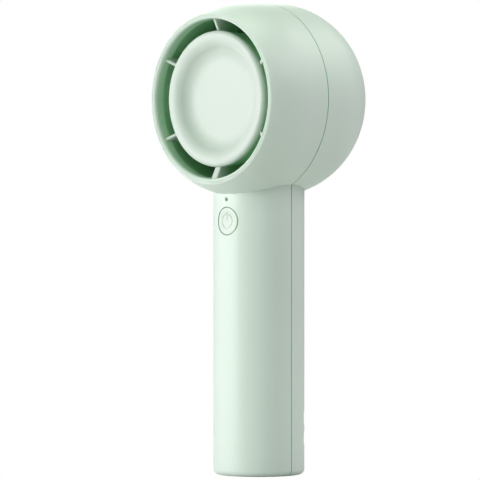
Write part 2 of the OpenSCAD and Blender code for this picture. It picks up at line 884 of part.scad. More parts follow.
front_shell();
rear_shell();
rear_grille();
outlet_trim();
outlet_ring();
front_disc();
air_duct();
duct_screws();
impeller();
rotor_bell();
rotor_magnets();
shaft();
rotor_spacer();
retaining_clip();
motor_mount();
motor_screws();
bearings();
stator_core();
stator_windings();
motor_board();
motor_board_parts();
motor_leads();
motor_plug();
motor_header();
power_button();
tact_switch();
switch_plunger();
light_pipe();
status_led();
control_board();
control_chips();
inductor();
board_screws();
battery_can();
battery_roll();
battery_wrap();
battery_cap();
battery_insulator();
positive_tab();
negative_tab();
battery_cradle();
battery_pad();
battery_lead_red();
battery_lead_black();
usb_shell();
usb_tongue();
usb_board();
usb_board_parts();
usb_leads();
lanyard_pin();
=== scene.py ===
"""Handheld electric fan: the finished pieces, their materials and the studio round the fixed frame."""

import json
import math

import bmesh
import bpy
from bpy.props import FloatProperty, FloatVectorProperty, IntProperty, PointerProperty
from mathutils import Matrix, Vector


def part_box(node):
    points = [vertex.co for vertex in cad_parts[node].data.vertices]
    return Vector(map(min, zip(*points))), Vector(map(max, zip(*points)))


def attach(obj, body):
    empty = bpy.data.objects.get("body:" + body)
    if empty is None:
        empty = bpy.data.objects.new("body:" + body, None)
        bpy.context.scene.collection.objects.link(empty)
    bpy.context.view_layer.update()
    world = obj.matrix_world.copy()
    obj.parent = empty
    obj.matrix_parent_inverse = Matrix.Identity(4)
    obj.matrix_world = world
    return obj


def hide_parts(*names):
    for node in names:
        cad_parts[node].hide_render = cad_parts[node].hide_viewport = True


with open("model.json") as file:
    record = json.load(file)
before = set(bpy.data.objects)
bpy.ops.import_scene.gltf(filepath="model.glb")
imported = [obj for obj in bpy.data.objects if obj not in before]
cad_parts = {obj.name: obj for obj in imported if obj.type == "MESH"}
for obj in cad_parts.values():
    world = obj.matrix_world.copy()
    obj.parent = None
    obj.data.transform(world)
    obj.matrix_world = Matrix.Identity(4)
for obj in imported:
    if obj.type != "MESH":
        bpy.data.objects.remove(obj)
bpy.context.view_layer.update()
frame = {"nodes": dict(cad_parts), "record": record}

bl_info = {
    "name": "Handheld electric fan",
    "version": (1, 0, 0),
    "blender": (4, 5, 0),
    "location": "View3D > Sidebar > Fan",
    "description": "Models the outside of a ducted hand fan round its frame and lights it in a studio",
    "category": "Object",
}

MM = 0.001

# ---- places that come from the frame ----

DISC_LOW, DISC_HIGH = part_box("front_disc")
SHELL_LOW, SHELL_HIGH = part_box("front_shell")
GRILLE_LOW, GRILLE_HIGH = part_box("rear_grille")
RING_LOW, RING_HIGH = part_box("outlet_ring")
DUCT_LOW, DUCT_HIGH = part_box("air_duct")
WHEEL_LOW, WHEEL_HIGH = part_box("impeller")
CAP_LOW, CAP_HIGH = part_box("power_button")
PIPE_LOW, PIPE_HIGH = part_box("light_pipe")

# ---- sizes of the modelled pieces, from those places and from the walls' thickness ----

HEAD_Z = (DISC_LOW.z + DISC_HIGH.z) / 2
DISC_R = (DISC_HIGH.x - DISC_LOW.x) / 2
HEAD_R = (SHELL_HIGH.x - SHELL_LOW.x) / 2
BUTTON_Z = (CAP_LOW.z + CAP_HIGH.z) / 2
HEAD_AXIS = Vector((0, 0, HEAD_Z))
RING_R = (RING_HIGH.x - RING_LOW.x) / 2
RING_IN_R = RING_R - 1.2 * MM
RING_BACK = DUCT_LOW.y - 0.05 * MM
RING_FRONT = RING_BACK - 9.75 * MM
VANE_FRONT = RING_LOW.y
VANE_SLOPE = 2 * MM
OUTLET_R = RING_IN_R - 0.65 * MM
RIM_OUT = 1.5 * MM
RIM_IN = 5.3 * MM
DISC_BACK = DISC_LOW.y + RIM_OUT + 0.7 * MM
HUB_R = DISC_R - 0.5 * MM
HUB_WALL = 1.2 * MM
HUB_FRONT = DISC_BACK + 0.25 * MM
CONE_R = 15.4 * MM
CONE_BACK = RING_HIGH.y
# the bulkhead in the hub, which carries the motor
BULKHEAD_FRONT = -5.2 * MM
BULKHEAD_BACK = -3.55 * MM
BULKHEAD_FRONT_R = 18 * MM
BULKHEAD_BACK_R = 16.65 * MM
BULKHEAD_BORE_R = 3.8 * MM
MOTOR_SCREW_PLACE_R = 8.6 * MM
MOTOR_SCREW_HOLE_R = 0.85 * MM
# the channel for the motor's leads, through the hub, the lead vane and the ring
CHANNEL_HALF_WIDTH = 0.55 * MM
CHANNEL_FRONT = -13.8 * MM
CHANNEL_BACK = -11.2 * MM
CHANNEL_REACH = 35 * MM
LIP_FRONT = SHELL_LOW.y
CAP_R = 4.8 * MM
CAP_BEND_R = -CAP_LOW.y
FLANGE_FRONT = -13 * MM
FLANGE_BACK = -12.2 * MM
STEM_R = 1.4 * MM
COLLAR_FRONT = -12.4 * MM
COLLAR_BACK = -11.6 * MM
GRILLE_R = (GRILLE_HIGH.x - GRILLE_LOW.x) / 2 - 0.35 * MM
DOME_R = 29.2 * MM
DOME_CENTRE_R = HEAD_R - DOME_R
DOME_CENTRE_Y = 7 * MM
WALL = 1.7 * MM
SKIRT_FRONT = 23.4 * MM
SKIRT_BACK = 28 * MM
SKIRT_WALL = 1.2 * MM
BLADE_TIP_R = (WHEEL_HIGH.x - WHEEL_LOW.x) / 2
WHEEL_HUB_R = 14.2 * MM
BELL_R = 11.5 * MM
BELL_ROOF = 10.2 * MM
SHAFT_SOCKET_R = 1 * MM
SHAFT_SOCKET_END = 11.1 * MM
BLADE_FRONT = 1 * MM
BLADE_BACK = 11 * MM


def linear(hex_colour):
    """Turns an sRGB hex colour into linear red, green and blue."""
    parts = [int(hex_colour[i : i + 2], 16) / 255 for i in (1, 3, 5)]
    return [p / 12.92 if p <= 0.04045 else ((p + 0.055) / 1.055) ** 2.4 for p in parts]


# ---- settings ----


class FanFinish(bpy.types.PropertyGroup):
    """The colours of the plastics."""

    shell: FloatVectorProperty(
        name="Shell", description="Colour of the matt shells", subtype="COLOR", size=3,
        min=0, max=1, default=linear("#d1e0d4"),
    )
    trim: FloatVectorProperty(
        name="Trim", description="Colour of the disc, the vanes and the button", subtype="COLOR",
        size=3, min=0, max=1, default=linear("#cbd8cd"),
    )
    duct: FloatVectorProperty(
        name="Duct", description="Colour of the air duct and the impeller", subtype="COLOR",
        size=3, min=0, max=1, default=linear("#95c99c"),
    )
    grain: FloatProperty(
        name="Grain", description="Size of the moulded grain on the plastics", subtype="DISTANCE",
        unit="LENGTH", min=0.0001, max=0.002, default=0.35 * MM,
    )


class FanShape(bpy.types.PropertyGroup):
    """The sizes that shape the modelled pieces inside the frame's boxes."""

    dish_slope: FloatProperty(
        name="Dish slope", description="Steepest slope of the dish, between its rim and its floor",
        subtype="ANGLE", unit="ROTATION", min=0.8, max=1.0, default=math.radians(51),
    )
    dish_depth: FloatProperty(
        name="Dish depth", description="Depth of the dish under the disc's rim",
        subtype="DISTANCE", unit="LENGTH", min=0.0035, max=0.0046, default=4.4 * MM,
    )
    vane_thickness: FloatProperty(
        name="Vane thickness", description="Thickness of the five thin vanes",
        subtype="DISTANCE", unit="LENGTH", min=0.0006, max=0.0014, default=1.2 * MM,
    )
    lead_vane_thickness: FloatProperty(
        name="Lead vane thickness", description="Thickness of the lowest vane, which holds the motor's leads",
        subtype="DISTANCE", unit="LENGTH", min=0.0016, max=0.003, default=2.8 * MM,
    )
    blades: IntProperty(
        name="Blades", description="Number of blades on the impeller", min=5, max=13, default=9
    )
    blade_twist: FloatProperty(
        name="Blade twist", description="Angle that a blade turns through along the axis",
        subtype="ANGLE", unit="ROTATION", min=0.5, max=1.2, default=math.radians(52),
    )
    ribs: IntProperty(
        name="Ribs", description="Number of ribs across the grille's slots", min=8, max=16, default=12
    )
    slot_rings: IntProperty(
        name="Slot rings", description="Number of rings of slots in the grille", min=3, max=5, default=5
    )
    slot_first: FloatProperty(
        name="First slot", description="Radius at which the innermost slot begins",
        subtype="DISTANCE", unit="LENGTH", min=0.005, max=0.006, default=5.6 * MM,
    )
    slot_pitch: FloatProperty(
        name="Slot pitch", description="Distance from one ring of slots to the next",
        subtype="DISTANCE", unit="LENGTH", min=0.0032, max=0.0036, default=3.5 * MM,
    )
    slot_width: FloatProperty(
        name="Slot width", description="Width of a slot across its ring",
        subtype="DISTANCE", unit="LENGTH", min=0.0016, max=0.0024, default=2.1 * MM,
    )
    rib_width: FloatProperty(
        name="Rib width", description="Width of a rib across the slots",
        subtype="DISTANCE", unit="LENGTH", min=0.001, max=0.0018, default=1.3 * MM,
    )


# ---- modelling ----


def clear_selection():
    """Leaves object mode with nothing selected, because operators act on all that is selected."""
    if bpy.context.object and bpy.context.object.mode != "OBJECT":
        bpy.ops.object.mode_set(mode="OBJECT")
    bpy.ops.object.select_all(action="DESELECT")


def activate(obj):
    """Makes one object the only selected and the active one."""
    clear_selection()
    obj.select_set(True)
    bpy.context.view_layer.objects.active = obj


def draw_chain(name, points):
    """Draws a chain of edges through the points and leaves it in edit mode, all selected."""
    clear_selection()
    bpy.ops.mesh.primitive_plane_add(size=MM, location=points[0])
    obj = bpy.context.object
    obj.name = obj.data.name = name
    bpy.ops.object.mode_set(mode="EDIT")
    bpy.context.tool_settings.mesh_select_mode = (True, False, False)
    bpy.ops.mesh.merge(type="CENTER")
    for here, there in zip(points, points[1:]):
        step = Vector(there) - Vector(here)
        bpy.ops.mesh.extrude_region_move(TRANSFORM_OT_translate={"value": step})
    bpy.ops.mesh.select_all(action="SELECT")
    return obj


def lathe(name, section, steps=192, closed=True, centre=HEAD_AXIS, axis=(0, 1, 0)):
    """Spins a section, given as radius and place along the axis, into a closed piece."""
    axis = Vector(axis)
    out = Vector((1, 0, 0))
    points = [centre + out * r + axis * place for r, place in section]
    if closed:
        points.append(points[0])
    obj = draw_chain(name, points)
    bpy.ops.mesh.spin(steps=steps, angle=math.tau, center=centre, axis=axis)
    bpy.ops.mesh.select_all(action="SELECT")
    bpy.ops.mesh.remove_doubles(threshold=0.002 * MM)
    bpy.ops.mesh.delete_loose()
    bpy.ops.mesh.normals_make_consistent(inside=False)
    return settle(obj)


def settle(obj, angle=35):
    """Ends editing: the place goes into the mesh and the faces are shaded smooth up to an angle."""
    activate(obj)
    bpy.ops.object.transform_apply(location=True, rotation=True, scale=True)
    bpy.ops.object.shade_smooth_by_angle(angle=math.radians(angle))
    return obj


def arc(centre_r, centre_y, radius, start, end, count):
    """Points on an arc of a section; 0 degrees points outwards and 90 towards the back."""
    turns = [math.radians(start + (end - start) * i / count) for i in range(count + 1)]
    return [(centre_r + radius * math.cos(t), centre_y + radius * math.sin(t)) for t in turns]


def apply_modifier(obj, kind, **settings):
    """Adds a modifier with its settings and applies it."""
    activate(obj)
    modifier = obj.modifiers.new(kind.title(), kind)
    for key, value in settings.items():
        setattr(modifier, key, value)
    bpy.ops.object.modifier_apply(modifier=modifier.name)
    return obj


def combine(obj, other, operation="DIFFERENCE"):
    """Cuts, joins or intersects obj with other, which is then removed."""
    apply_modifier(obj, "BOOLEAN", operation=operation, object=other, solver="EXACT")
    bpy.data.objects.remove(other)
    bpy.ops.object.mode_set(mode="EDIT")
    bpy.ops.mesh.select_all(action="SELECT")
    bpy.ops.mesh.remove_doubles(threshold=0.008 * MM)
    bpy.ops.mesh.dissolve_degenerate(threshold=0.002 * MM)
    bpy.ops.mesh.delete_loose()
    bpy.ops.object.mode_set(mode="OBJECT")
    return obj


def bevel_edges(obj, width, segments=2, angle=40):
    """Rounds the edges that turn by more than an angle."""
    apply_modifier(
        obj, "BEVEL", width=width, segments=segments, limit_method="ANGLE",
        angle_limit=math.radians(angle), use_clamp_overlap=True,
    )
    return settle(obj)


def box_piece(name, low, high):
    """A cuboid between two corners."""
    clear_selection()
    middle = [(a + b) / 2 for a, b in zip(low, high)]
    bpy.ops.mesh.primitive_cube_add(size=1, location=middle)
    obj = bpy.context.object
    obj.name = obj.data.name = name
    obj.scale = [b - a for a, b in zip(low, high)]
    bpy.ops.object.transform_apply(location=True, rotation=True, scale=True)
    return obj


def rod_piece(name, radius, start, length, axis="Y", steps=96):
    """A cylinder that starts at a point and runs along X, Y or Z."""
    clear_selection()
    turn = {"X": (0, math.pi / 2, 0), "Y": (math.pi / 2, 0, 0), "Z": (0, 0, 0)}[axis]
    way = {"X": Vector((1, 0, 0)), "Y": Vector((0, 1, 0)), "Z": Vector((0, 0, 1))}[axis]
    bpy.ops.mesh.primitive_cylinder_add(
        vertices=steps, radius=radius, depth=length, location=Vector(start) + way * length / 2, rotation=turn
    )
    obj = bpy.context.object
    obj.name = obj.data.name = name
    bpy.ops.object.transform_apply(location=True, rotation=True, scale=True)
    return obj


def turn_piece(obj, degrees, centre=HEAD_AXIS, axis="Y"):
    """Turns a piece's mesh about an axis through a centre."""
    activate(obj)
    bpy.ops.object.mode_set(mode="EDIT")
    bpy.ops.mesh.select_all(action="SELECT")
    bpy.ops.transform.rotate(
        value=math.radians(degrees), orient_axis=axis, center_override=centre, orient_type="GLOBAL"
    )
    bpy.ops.object.mode_set(mode="OBJECT")
    return obj


def turned_copy(obj, degrees, name):
    """A copy with its own mesh, turned about the head's axis."""
    copy = obj.copy()
    copy.data = obj.data.copy()
    copy.name = copy.data.name = name
    bpy.context.scene.collection.objects.link(copy)
    return turn_piece(copy, degrees)


def select_edges(obj, wanted):
    """In edit mode, selects the edges whose two ends, as vectors, pass a test."""
    bpy.ops.mesh.select_all(action="DESELECT")
    bpy.context.tool_settings.mesh_select_mode = (False, True, False)
    mesh = bmesh.from_edit_mesh(obj.data)
    place = obj.matrix_world
    for edge in mesh.edges:
        if wanted(place @ edge.verts[0].co, place @ edge.verts[1].co):
            edge.select_set(True)
    bmesh.update_edit_mesh(obj.data)


def joined(pieces, name):
    """Several meshes as one piece, each still its own closed shell."""
    clear_selection()
    for piece in pieces:
        piece.select_set(True)
    bpy.context.view_layer.objects.active = pieces[0]
    bpy.ops.object.join()
    obj = bpy.context.object
    obj.name = obj.data.name = name
    return obj


def finish_piece(obj, body, slot, material, *nodes):
    """Gives a modelled piece its material and its body, and hides the frame nodes it stands for; the slot is
    not used.
    """
    obj.data.materials.clear()
    obj.data.materials.append(material)
    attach(obj, body)
    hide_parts(*nodes)
    return obj


# ---- materials ----


def add_node(tree, kind, settings=None, **inputs):
    """Adds a node and sets its properties and inputs; an input is named, or numbered as in _0."""
    node = tree.nodes.new(kind)
    for key, value in (settings or {}).items():
        setattr(node, key, value)
    for key, value in inputs.items():
        by_number = key[0] == "_" and key[1:].isdigit()
        socket = node.inputs[int(key[1:]) if by_number else key.replace("_", " ")]
        if isinstance(value, bpy.types.NodeSocket):
            tree.links.new(value, socket)
        else:
            socket.default_value = value
    return node


def new_material(name, colour, roughness, metallic=0.0, **shader):
    """A material with its shader, whose uniform values sit on the shader's own sockets."""
    material = bpy.data.materials.new(name)
    material.use_nodes = True
    tree = material.node_tree
    tree.nodes.clear()
    principled = add_node(
        tree, "ShaderNodeBsdfPrincipled", None, Base_Color=(*colour, 1), Roughness=roughness,
        Metallic=metallic, **shader,
    )
    add_node(tree, "ShaderNodeOutputMaterial", None, Surface=principled.outputs["BSDF"])
    place = add_node(tree, "ShaderNodeTexCoord").outputs["Object"]
    material.diffuse_color = (*colour, 1)
    return material, tree, principled, place


def tint(tree, principled, factor, colour, spread):
    """Varies the base colour between a darker and a lighter tint."""
    low = (*[c * (1 - spread) for c in colour], 1)
    high = (*[min(1, c * (1 + spread)) for c in colour], 1)
    mix = add_node(tree, "ShaderNodeMix", {"data_type": "RGBA"}, _0=factor, _6=low, _7=high)
    tree.links.new(mix.outputs[2], principled.inputs["Base Color"])


def grain(tree, principled, place, size, depth, detail=2.0, strength=1.0):
    """Presses a fine grain of one size into the surface; depth is in metres."""
    noise = add_node(tree, "ShaderNodeTexNoise", None, Vector=place, Scale=1 / size, Detail=detail)
    bump = add_node(
        tree, "ShaderNodeBump", None, Strength=strength, Distance=depth, Height=noise.outputs["Fac"]
    )
    tree.links.new(bump.outputs["Normal"], principled.inputs["Normal"])
    return noise


def vary_roughness(tree, principled, place, size, low, high):
    """Lets the roughness drift between two values over a size."""
    noise = add_node(tree, "ShaderNodeTexNoise", None, Vector=place, Scale=1 / size, Detail=3.0)
    ramp = add_node(
        tree, "ShaderNodeMapRange", None, Value=noise.outputs["Fac"], From_Min=0.3, From_Max=0.7,
        To_Min=low, To_Max=high,
    )
    tree.links.new(ramp.outputs["Result"], principled.inputs["Roughness"])
    return noise


def moulded_plastic(name, colour, roughness, size, depth):
    """Moulded ABS: an even colour that drifts a little with the melt's flow, under a fine satin grain."""
    material, tree, principled, place = new_material(name, colour, roughness, IOR=1.5)
    flow = vary_roughness(tree, principled, place, 18 * MM, roughness - 0.03, roughness + 0.03)
    tint(tree, principled, flow.outputs["Fac"], colour, 0.012)
    grain(tree, principled, place, size, depth)
    return material


def painted_seam_and_hole_shade(material, shade_colour, has_hole):
    """Paints shade in a green along the seam and round the button's hole, where the gaps lie in shadow."""
    tree = material.node_tree
    principled = next(n for n in tree.nodes if n.type == "BSDF_PRINCIPLED")
    lacquer = principled.inputs["Base Color"].links[0].from_socket
    place = add_node(tree, "ShaderNodeTexCoord").outputs["Object"]
    along = add_node(tree, "ShaderNodeSeparateXYZ", None, Vector=place)
    off_seam = add_node(tree, "ShaderNodeMath", {"operation": "ABSOLUTE"}, _0=along.outputs["Y"])
    seam = add_node(
        tree, "ShaderNodeMapRange", None, Value=off_seam.outputs["Value"], From_Min=0.14 * MM,
        From_Max=0.24 * MM, To_Min=1.0, To_Max=0.0,
    )
    # the hole's axis runs along Y, so the distance from it needs only X and Z
    flat = add_node(
        tree, "ShaderNodeVectorMath", {"operation": "MULTIPLY_ADD"}, _0=place, _1=(1, 0, 1),
        _2=(0, 0, -BUTTON_Z),
    )
    off_axis = add_node(tree, "ShaderNodeVectorMath", {"operation": "LENGTH"}, _0=flat.outputs["Vector"])
    hole = add_node(
        tree, "ShaderNodeMapRange", None, Value=off_axis.outputs["Value"], From_Min=CAP_R + 0.18 * MM,
        From_Max=CAP_R + 0.26 * MM, To_Min=1.0 if has_hole else 0.0, To_Max=0.0,
    )
    either = add_node(
        tree, "ShaderNodeMath", {"operation": "MAXIMUM"}, _0=seam.outputs["Result"], _1=hole.outputs["Result"]
    )
    # the seam and the hole's rim take the shade colour: painted shade
    mix = add_node(
        tree, "ShaderNodeMix", {"data_type": "RGBA"}, _0=either.outputs["Value"], _6=lacquer,
        _7=(*shade_colour, 1),
    )
    tree.links.new(mix.outputs[2], principled.inputs["Base Color"])
    return material


def plastic_with_painted_depth_shade(name, front_colour, deep_shade_colour, start, length):
    """Satin ABS whose colour turns to another over a length along the head's axis, as painted shade that
    deepens into the outlet.
    """
    material, tree, principled, place = new_material(name, front_colour, 0.42, IOR=1.5)
    depth = add_node(tree, "ShaderNodeSeparateXYZ", None, Vector=place).outputs["Y"]
    fade = add_node(
        tree, "ShaderNodeMapRange", {"interpolation_type": "SMOOTHSTEP"}, Value=depth,
        From_Min=start, From_Max=start + length,
    )
    mix = add_node(
        tree, "ShaderNodeMix", {"data_type": "RGBA"}, _0=fade.outputs["Result"],
        _6=(*front_colour, 1), _7=(*deep_shade_colour, 1),
    )
    tree.links.new(mix.outputs[2], principled.inputs["Base Color"])
    grain(tree, principled, place, 0.4 * MM, 0.006 * MM)
    return material


def plated_metal(name, colour, roughness, size=0.6 * MM, depth=0.002 * MM):
    """Plated or ground metal: near-mirror, with the cloudy roughness that handling leaves."""
    material, tree, principled, place = new_material(name, colour, roughness, 1.0)
    cloud = vary_roughness(tree, principled, place, 4 * MM, roughness - 0.06, roughness + 0.08)
    tint(tree, principled, cloud.outputs["Fac"], colour, 0.05)
    grain(tree, principled, place, size, depth)
    return material


def layered(name, colour, roughness, pitch, axis, depth, metallic=0.0, spread=0.12):
    """A surface of fine parallel layers across an axis, such as laminations or wound wire."""
    material, tree, principled, place = new_material(name, colour, roughness, metallic)
    wave = add_node(
        tree, "ShaderNodeTexWave", {"wave_type": "BANDS", "bands_direction": axis},
        Vector=place, Scale=math.tau / 20 / pitch,
    )
    bump = add_node(
        tree, "ShaderNodeBump", None, Strength=1.0, Distance=depth, Height=wave.outputs["Fac"]
    )
    tree.links.new(bump.outputs["Normal"], principled.inputs["Normal"])
    tint(tree, principled, wave.outputs["Fac"], colour, spread)
    return material


def solder_mask(name):
    """Circuit board: glossy green mask over copper tracks that show a little lighter and raised."""
    colour = linear("#1f5a3c")
    material, tree, principled, place = new_material(name, colour, 0.28, IOR=1.5)
    cells = add_node(
        tree, "ShaderNodeTexVoronoi", {"distance": "MANHATTAN", "feature": "DISTANCE_TO_EDGE"},
        Vector=place, Scale=1 / (1.6 * MM), Randomness=0.35,
    )
    track = add_node(
        tree, "ShaderNodeMapRange", None, Value=cells.outputs["Distance"], From_Min=0.08, From_Max=0.12,
        To_Min=1.0, To_Max=0.0,
    )
    mix = add_node(
        tree, "ShaderNodeMix", {"data_type": "RGBA"}, _0=track.outputs["Result"], _6=(*colour, 1),
        _7=(*linear("#3f8a5c"), 1),
    )
    tree.links.new(mix.outputs[2], principled.inputs["Base Color"])
    bump = add_node(
        tree, "ShaderNodeBump", None, Strength=1.0, Distance=0.02 * MM, Height=track.outputs["Result"]
    )
    tree.links.new(bump.outputs["Normal"], principled.inputs["Normal"])
    return material


def foam(name):
    """Closed-cell foam: dull and pitted."""
    colour = linear("#3d4042")
    material, tree, principled, place = new_material(name, colour, 0.95)
    cells = add_node(tree, "ShaderNodeTexVoronoi", None, Vector=place, Scale=1 / (0.5 * MM))
    bump = add_node(
        tree, "ShaderNodeBump", None, Strength=1.0, Distance=0.15 * MM, Height=cells.outputs["Distance"]
    )
    tree.links.new(bump.outputs["Normal"], principled.inputs["Normal"])
    tint(tree, principled, cells.outputs["Distance"], colour, 0.3)
    return material


def silicone(name, colour):
    """Insulation of a lead: soft silicone with a low sheen."""
    return moulded_plastic(name, linear(colour), 0.35, 0.3 * MM, 0.004 * MM)


def make_materials():
    """Every finish of the fan, by the name of its slot."""
    look = bpy.context.scene.fan_finish
    shell, trim, duct, size = list(look.shell), list(look.trim), list(look.duct), look.grain
    deeper_trim = [c * 0.94 for c in trim]

    def lacquered(name):
        return moulded_plastic(name, shell, 0.46, size, 0.012 * MM)

    return {
        # ABS under a soft matt lacquer: no hard highlights, only a broad sheen
        "mint_shell": lacquered("soft_matt_lacquered_abs"),
        # the two shells: the same lacquer, with painted shade in the duct's green along the seam and round
        # the button's hole
        "front_finish": painted_seam_and_hole_shade(lacquered("soft_matt_lacquer_painted_shade_at_seam_and_hole"), duct, True),
        "rear_finish": painted_seam_and_hole_shade(lacquered("soft_matt_lacquer_painted_shade_at_seam"), duct, False),
        # plain moulded ABS, a little smoother and paler than the lacquer
        "mint_light": moulded_plastic("satin_moulded_abs", trim, 0.38, size, 0.006 * MM),
        # the disc: the same satin ABS, a shade deeper
        "disc_finish": moulded_plastic("satin_moulded_disc_abs", deeper_trim, 0.5, size, 0.006 * MM),
        # the vanes: satin ABS at the front that turns to the duct's green further in, as painted shade of the
        # recess
        "vane_finish": plastic_with_painted_depth_shade("satin_abs_with_painted_recess_shade", trim, duct, VANE_FRONT + 2.5 * MM, 6 * MM),
        # the outlet's lining: lacquered like the shell on its lip, with pale green inside as painted shade
        # and green bounce light from the recess
        "trim_finish": plastic_with_painted_depth_shade(
            "lacquered_lip_with_painted_green_shade_inside", shell, linear("#b4dcb9"), LIP_FRONT + 0.9 * MM, 0.6 * MM
        ),
        # the same ABS in a deeper green, as moulded for the duct inside; on the outlet's ring and hub this
        # deeper green is painted shade for the recess
        "duct_green": moulded_plastic("deep_green_abs_and_painted_recess_shade", duct, 0.5, size, 0.01 * MM),
        "screw_steel": plated_metal("zinc_plated_steel", linear("#b9bdc1"), 0.3),
        "mount_aluminium": layered(
            "turned_aluminium", linear("#c4c8cb"), 0.32, 0.3 * MM, "Y", 0.004 * MM, 1.0, 0.04
        ),
        "polished_steel": plated_metal("ground_steel", linear("#c8ccd0"), 0.2),
        "spring_steel": plated_metal("oiled_spring_steel", linear("#5a5d60"), 0.35),
        "spacer_brass": plated_metal("turned_brass", linear("#c9a24a"), 0.28),
        "bell_steel": plated_metal("drawn_nickel_plated_steel", linear("#9a9ea3"), 0.28),
        "magnet_dark": plated_metal("coated_ferrite_magnet", linear("#4a4d50"), 0.45),
        "core_steel": layered(
            "stacked_electrical_steel", linear("#8d9299"), 0.4, 0.35 * MM, "Y", 0.02 * MM, 1.0
        ),
        "winding_copper": layered(
            "enamelled_copper_wire", linear("#b8602c"), 0.25, 0.22 * MM, "Z", 0.06 * MM, 1.0
        ),
        "board_green": solder_mask("green_solder_mask"),
        "chip_black": moulded_plastic("black_epoxy_moulding", linear("#1d1f21"), 0.5, 0.15 * MM, 0.01 * MM),
        "ferrite_grey": moulded_plastic("sintered_ferrite", linear("#55585b"), 0.7, 0.2 * MM, 0.02 * MM),
        "lead_yellow": silicone("yellow_silicone_insulation", "#d8a43a"),
        "lead_grey": silicone("grey_silicone_insulation", "#b9bdc1"),
        "lead_red": silicone("red_silicone_insulation", "#b8322a"),
        "lead_black": silicone("black_silicone_insulation", "#1d1f21"),
        "connector_cream": moulded_plastic("natural_nylon", linear("#e6e2d2"), 0.42, 0.3 * MM, 0.01 * MM),
        "light_pipe_green": moulded_plastic(
            "dark_tinted_polycarbonate", linear("#3a7c4e"), 0.15, 0.5 * MM, 0.001 * MM
        ),
        "led_resin": moulded_plastic("cast_epoxy_resin", linear("#e4ecd2"), 0.15, 0.5 * MM, 0.001 * MM),
        "cell_steel": plated_metal("nickel_plated_steel_can", linear("#b9bdc1"), 0.25),
        "electrode_foil": layered(
            "wound_electrode_foil", linear("#8a5a44"), 0.4, 0.25 * MM, "Z", 0.01 * MM, 1.0
        ),
        "nickel": plated_metal("rolled_nickel_strip", linear("#cfd1cf"), 0.3),
        "cell_wrap": moulded_plastic("heat_shrunk_film", linear("#4f86bd"), 0.22, 1.5 * MM, 0.01 * MM),
        "cell_paper": moulded_plastic(
            "pressed_insulating_paper", linear("#e6e2d6"), 0.85, 0.25 * MM, 0.03 * MM
        ),
        "cradle_white": moulded_plastic("white_moulded_abs", linear("#dfe3dd"), 0.5, 0.4 * MM, 0.01 * MM),
        "foam_grey": foam("closed_cell_foam"),
    }


# filled by the first step and read by all the others
MATERIALS = {}


# ---- pieces ----


class FAN_OT_finishes(bpy.types.Operator):
    """Makes the materials and gives every frame node the finish of its slot."""

    bl_idname = "fan.finishes"
    bl_label = "Materials and frame finishes"

    def execute(self, context):
        MATERIALS.update(make_materials())
        for row in frame["record"]["subparts"]:
            node = frame["nodes"][row["node"]]
            for slot in node.material_slots:
                slot.material = MATERIALS[row["material_slot"]]
        for name, finish in (
            ("front_shell", "front_finish"), ("rear_shell", "rear_finish"), ("outlet_trim", "trim_finish")
        ):
            frame["nodes"][name].material_slots[0].material = MATERIALS[finish]
        return {"FINISHED"}


class FAN_OT_disc(bpy.types.Operator):
    """Models the dished disc in the middle of the outlet."""

    bl_idname = "fan.disc"
    bl_label = "Centre disc"

    def execute(self, context):
        shape = context.scene.fan_shape
        front, back = DISC_LOW.y, DISC_HIGH.y
        slope = shape.dish_slope
        crest_r = DISC_R - RIM_OUT
        # the rim's round and the dish's hollow curve meet where both have the slope
        reach = shape.dish_depth / (1 - math.cos(slope))
        hollow = reach - RIM_IN
        floor_r = crest_r - reach * math.sin(slope)
        floor_y = front + shape.dish_depth
        tilt = math.degrees(slope)
        edge = 0.2 * MM
        cup_r = HUB_R - HUB_WALL - 0.05 * MM
        section = [(floor_r * i / 5, floor_y) for i in range(5)]
        section += arc(floor_r, floor_y - hollow, hollow, 90, 90 - tilt, 24)
        section += arc(crest_r, front + RIM_IN, RIM_IN, -90 - tilt, -90, 16)[1:]
        section += arc(crest_r, front + RIM_OUT, RIM_OUT, -90, 0, 12)[1:]
        section += arc(DISC_R - edge, DISC_BACK - edge, edge, 0, 90, 4)
        section += [(cup_r, DISC_BACK), (cup_r, back), (0, back)]
        disc = lathe("front_disc_moulding", section, 256, closed=False)
        finish_piece(disc, "housing", "mint_light", MATERIALS["disc_finish"], "front_disc")
        return {"FINISHED"}


